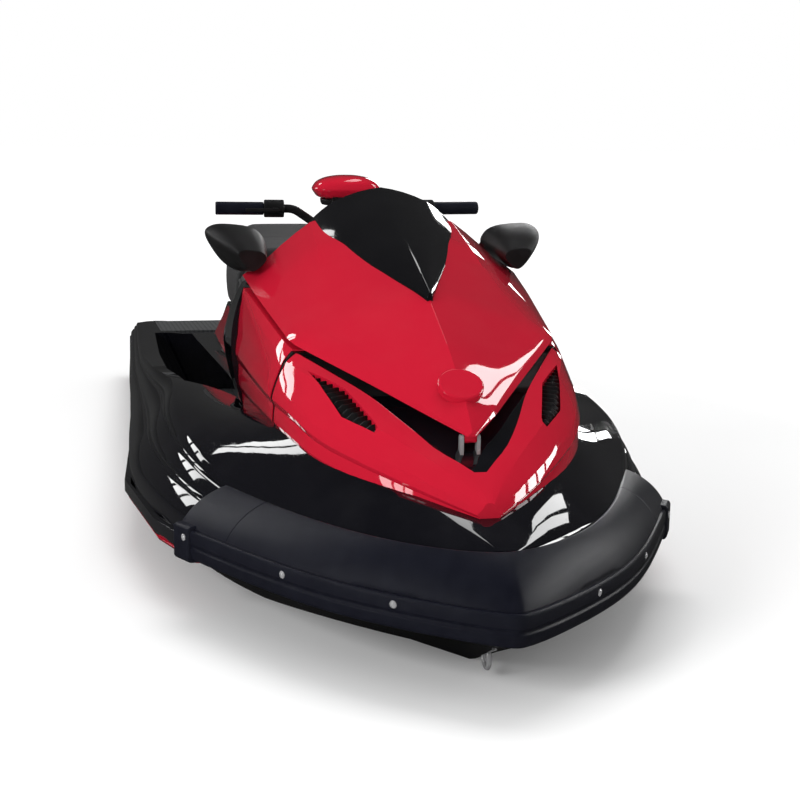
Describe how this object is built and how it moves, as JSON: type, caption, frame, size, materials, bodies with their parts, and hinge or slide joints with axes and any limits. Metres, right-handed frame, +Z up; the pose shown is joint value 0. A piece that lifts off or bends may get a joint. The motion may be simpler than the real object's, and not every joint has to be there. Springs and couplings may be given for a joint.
{
  "type": "personal watercraft",
  "caption": "Sit-on personal watercraft with a vee hull, foot troughs, red hood and cowl, rubber bow bumper, handlebar steering and a water-jet drive.",
  "frame": {"origin": "on the waterline at rest, on the centreline, 1.4 m forward of the transom, near the centre of flotation", "axes": "+X forward to the bow, +Y to port, +Z up"},
  "size_m": [3.39, 1.234, 1.131],
  "materials": {
    "red_gloss": "gloss gelcoat, crimson red",
    "black_gloss": "gloss gelcoat, black",
    "black_satin": "satin moulded plastic, black",
    "bumper_rubber": "satin rubber, blue black",
    "seat_vinyl": "grained marine vinyl, black with red piping",
    "mat_foam": "ribbed foam matting, dark grey",
    "cast_metal": "cast, bead blasted",
    "stainless": "polished stainless steel",
    "mirror_glass": "mirror"
  },
  "bodies": {
    "hull_and_deck": {"bow_bumper": "bumper_rubber", "bow_eye": "stainless", "bow_rail": "bumper_rubber", "bumper_corners": "bumper_rubber", "chin_panel": "black_gloss", "console": "black_gloss", "deck": "black_gloss", "engine_block": "cast_metal", "flank_panels": "red_gloss", "footwell_mats": "mat_foam", "front_cowl": "red_gloss", "grab_handle": "black_satin", "grilles": "black_satin", "hood_hinge": "stainless", "hull_shell": "black_gloss", "hull_topsides": "black_gloss", "instrument_pod": "black_satin", "intake_grate": "cast_metal", "pedestal": "black_gloss", "platform_mat": "mat_foam", "pump_housing": "cast_metal", "pump_outlet": "cast_metal", "ride_plate": "cast_metal", "seat_front": "seat_vinyl", "seat_rear": "seat_vinyl", "side_panels": "red_gloss", "side_rails": "black_gloss", "side_stripes": "red_gloss", "sponsons": "black_satin", "step_brackets": "stainless", "stern_eyes": "stainless", "storage_bin": "black_satin"},
    "steering_bar": {"handlebar": "black_satin", "handlebar_pad": "red_gloss", "grips": "bumper_rubber", "switch_pods": "black_satin", "throttle_lever": "black_satin"},
    "hood_set": {"hood": "red_gloss", "windscreen": "black_satin", "mirrors": "black_satin", "mirror_glass": "mirror_glass"},
    "impeller_set": {"impeller": "stainless"},
    "jet_nozzle": {"steering_nozzle": "cast_metal"},
    "reverse_gate": {"reverse_bucket": "cast_metal"},
    "step": {"boarding_step": "stainless"}
  },
  "joints": [
    {"name": "steering", "type": "hinge", "parent": "hull_and_deck", "child": "steering_bar", "pos_m": [0.36, 0, 0.696], "axis": [-0.4695, 0, 0.8829], "range_deg": [-25, 25]},
    {"name": "nozzle_pivot", "type": "hinge", "parent": "hull_and_deck", "child": "jet_nozzle", "pos_m": [-1.104, 0, -0.154], "axis": [0, 0, 1], "range_deg": [-20, 20]},
    {"name": "reverse_pivot", "type": "hinge", "parent": "hull_and_deck", "child": "reverse_gate", "pos_m": [-1.104, 0, -0.154], "axis": [0, -1, 0], "range_deg": [0, 75]},
    {"name": "impeller_spin", "type": "hinge", "parent": "hull_and_deck", "child": "impeller_set", "pos_m": [-0.9, 0, -0.154], "axis": [1, 0, 0], "continuous": true},
    {"name": "hood_swing", "type": "hinge", "parent": "hull_and_deck", "child": "hood_set", "pos_m": [1.585, 0, 0.424], "axis": [0, 1, 0], "range_deg": [0, 50]},
    {"name": "step_swing", "type": "hinge", "parent": "hull_and_deck", "child": "step", "pos_m": [-1.422, 0, 0.018], "axis": [0, -1, 0], "range_deg": [0, 170]}
  ],
  "couplings": [
    {"joint": "nozzle_pivot", "follows": "steering", "ratio": -0.8}
  ]
}
